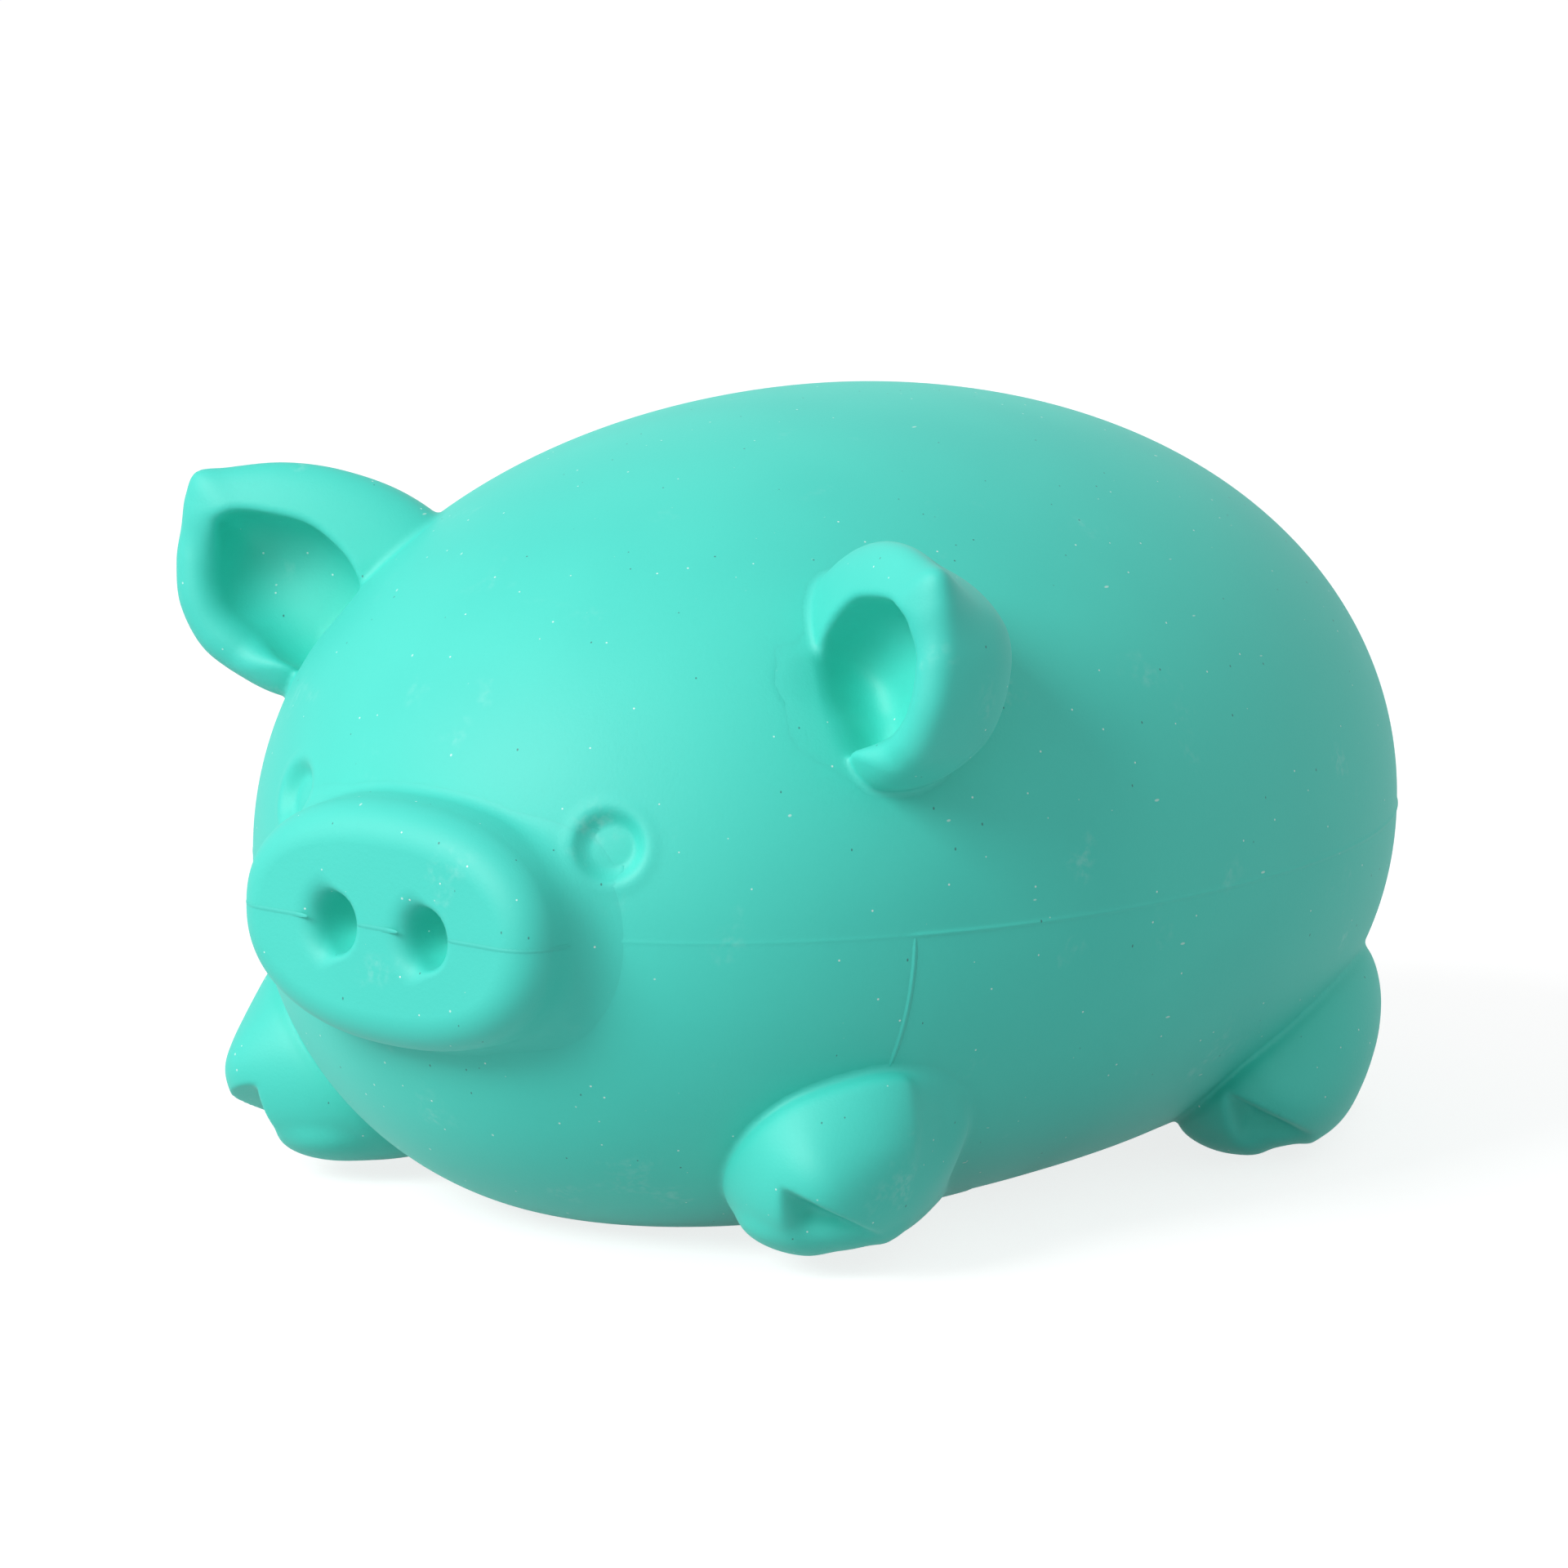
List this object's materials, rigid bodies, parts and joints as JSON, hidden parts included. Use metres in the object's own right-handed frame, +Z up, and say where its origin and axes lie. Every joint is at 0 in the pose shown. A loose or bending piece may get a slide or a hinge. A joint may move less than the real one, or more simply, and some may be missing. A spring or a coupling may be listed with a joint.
{
  "type": "pig squishy toy",
  "caption": "Palm-sized pig squeeze toy: a soft moulded rubber skin with cupped ears, round snout and cleft feet over a dough filling.",
  "frame": {"origin": "on the surface the toy rests on, midway along the egg of the body, on its plane of symmetry", "axes": "+Z up, -Y the way the snout points, +X the pig's own left"},
  "size_m": [0.0666, 0.0921, 0.0513],
  "materials": {
    "skin": "soft matte thermoplastic rubber, sea green, slightly translucent, with a trace of talc",
    "dough": "soft white dough, hidden inside the skin",
    "plug": "smooth moulded rubber, a little glossier than the skin"
  },
  "bodies": {
    "root": {"skin_lower": "skin", "snout": "skin", "filling": "dough", "fill_plug": "plug", "foot_front_left": "skin", "foot_front_right": "skin", "foot_rear_left": "skin", "foot_rear_right": "skin"},
    "back": {"skin_upper": "skin", "tail": "skin"},
    "ear_left": {"ear_left": "skin"},
    "ear_right": {"ear_right": "skin"}
  },
  "joints": [
    {"name": "squeeze", "type": "slide", "parent": "root", "child": "back", "axis": [0, 0, -1], "range_m": [0, 0.008], "stiffness_N_per_m": 600, "springref_m": -0.001, "deforming": ["skin_upper", "filling"]},
    {"name": "ear_left_bend", "type": "hinge", "parent": "back", "child": "ear_left", "pos_m": [0.023, -0.0232, 0.0376], "axis": [-0.5339, 0.3809, 0.7549], "range_deg": [-15, 15], "stiffness_Nm_per_rad": 0.02},
    {"name": "ear_right_bend", "type": "hinge", "parent": "back", "child": "ear_right", "pos_m": [-0.023, -0.0232, 0.0376], "axis": [-0.5339, -0.3809, -0.7549], "range_deg": [-15, 15], "stiffness_Nm_per_rad": 0.02}
  ]
}
